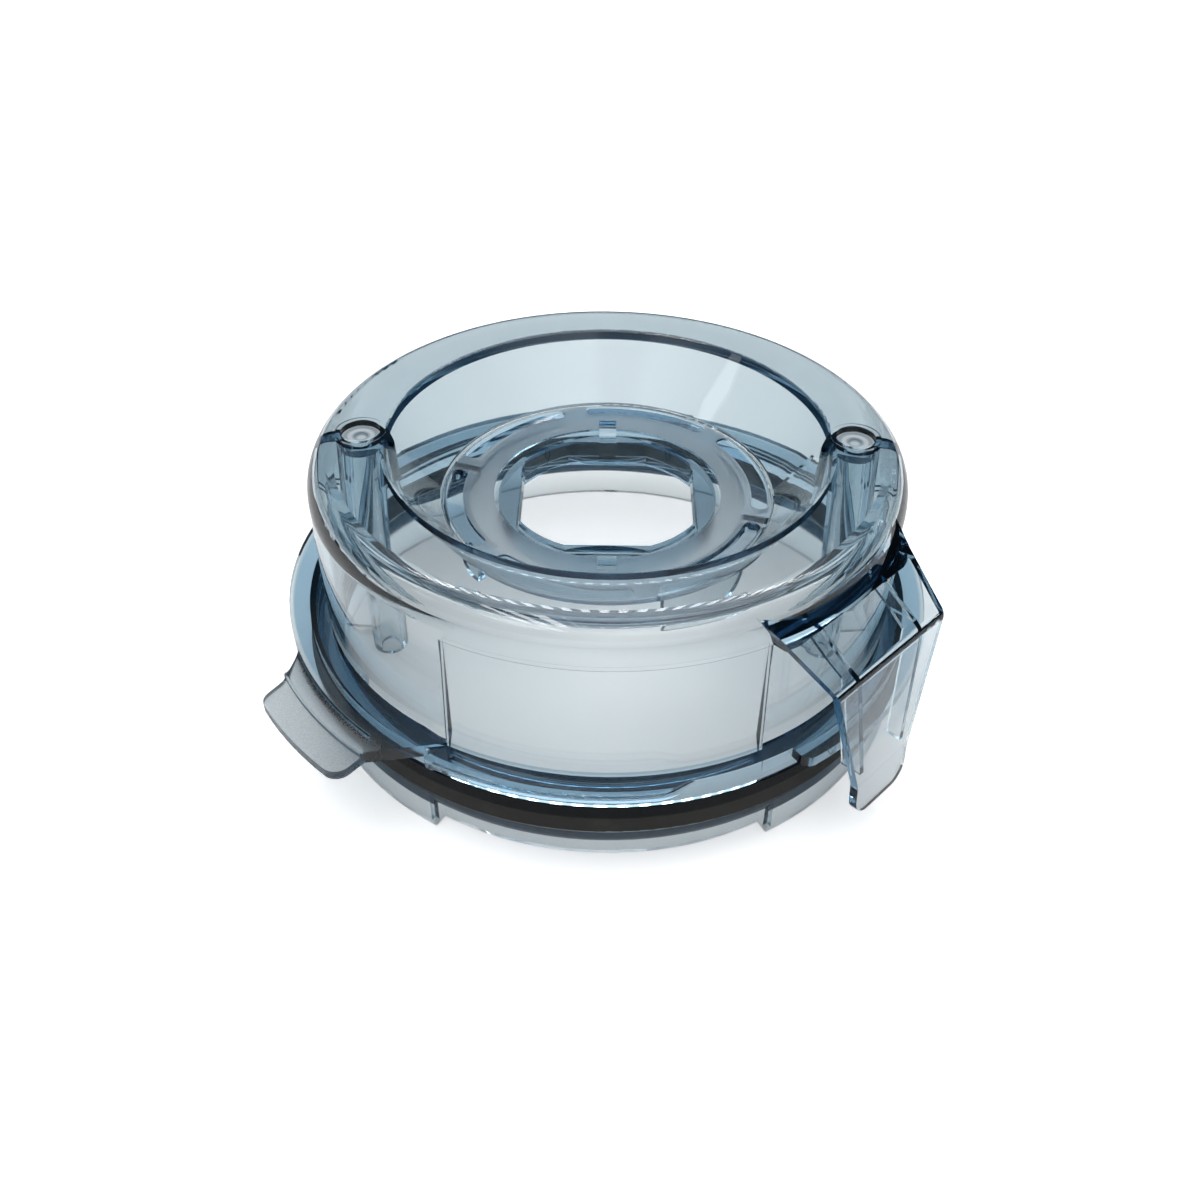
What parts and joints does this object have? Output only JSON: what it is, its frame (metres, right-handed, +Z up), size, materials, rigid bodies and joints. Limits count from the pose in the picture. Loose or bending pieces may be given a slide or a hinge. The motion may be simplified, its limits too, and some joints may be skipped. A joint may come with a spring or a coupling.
{
  "type": "blender jar lid",
  "caption": "Round clear blue-tinted blender jar lid with a sunken well and plug opening, a thumb tab, a folded spout hood and a black rubber seal around its foot.",
  "frame": {"origin": "on the lid's axis, level with the underside of the flange, which rests on the jar's rim", "axes": "+Z up along the lid's axis, out of the well; -Y towards the front of the lid, where the wide part of the flange is; +X to the right, on the hood's side"},
  "size_m": [0.1798, 0.1775, 0.0748],
  "materials": {
    "clear_plastic": "clear, tinted pale blue, polished; frosted on the well's floor and the tab's grip",
    "black_rubber": "matte black"
  },
  "bodies": {
    "root": {"lid_body": "clear_plastic", "seal_ring": "black_rubber"}
  },
  "joints": []
}
